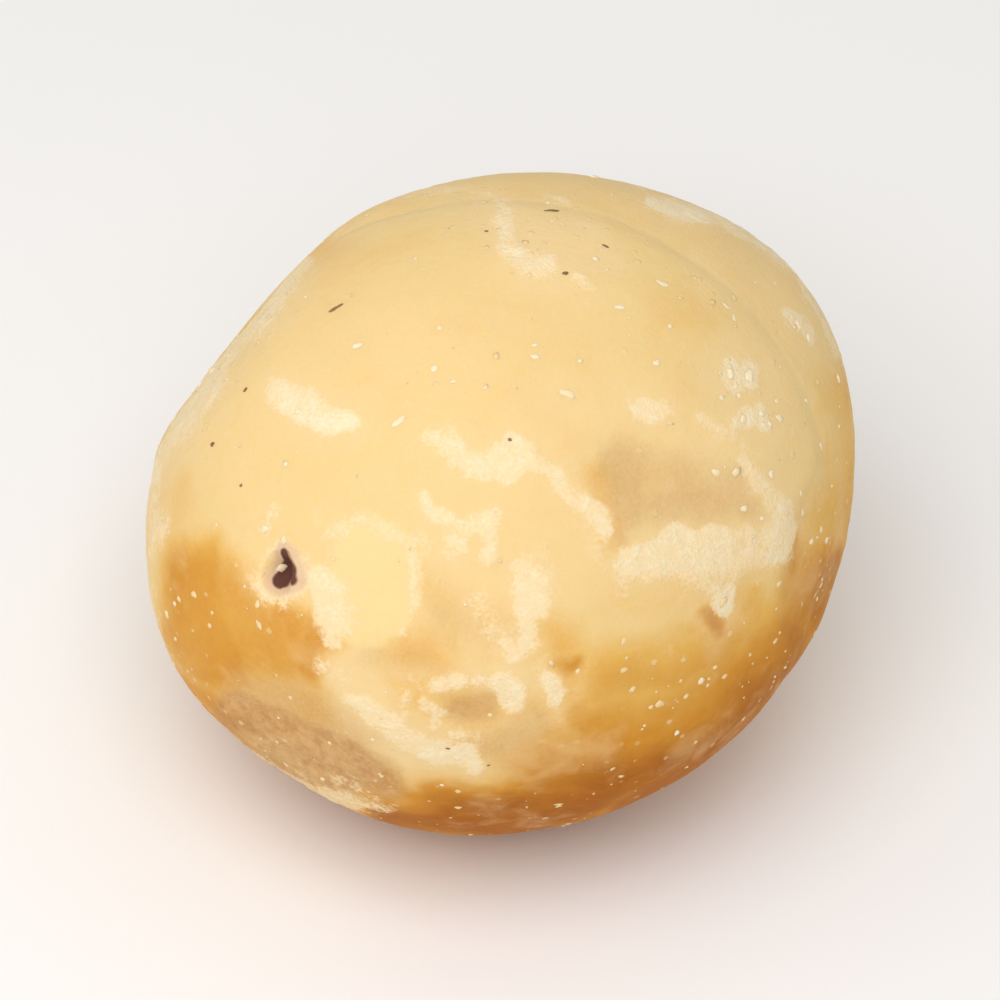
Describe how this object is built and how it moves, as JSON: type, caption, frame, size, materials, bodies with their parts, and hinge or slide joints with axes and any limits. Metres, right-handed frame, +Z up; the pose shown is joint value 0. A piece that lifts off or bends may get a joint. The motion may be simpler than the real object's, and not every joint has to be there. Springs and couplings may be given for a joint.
{
  "type": "macadamia kernel",
  "caption": "Whole roasted macadamia kernel out of its shell: an uneven golden ball with a faint seam, a blunt germ point, a broad stalk scar, rubbed hollows and a dark pit, on a flat spot.",
  "frame": {"origin": "on the surface that the kernel lies on, under the middle of its bounding box", "axes": "+Z up. +X along the longest side, from the blunt germ point to the broad stalk scar. -Y towards the side whose upper half shows the rubbed hollow and the dark pit"},
  "size_m": [0.0188, 0.0178, 0.0172],
  "materials": {
    "kernel": "roasted nut flesh: golden cream and faintly translucent, oily and smooth where whole, pale and chalky where rubbed, amber low on its sides",
    "salt_crumbs": "fine salt and pale nut crumbs stuck to the flesh"
  },
  "bodies": {
    "root": {"kernel": "kernel"}
  },
  "joints": []
}
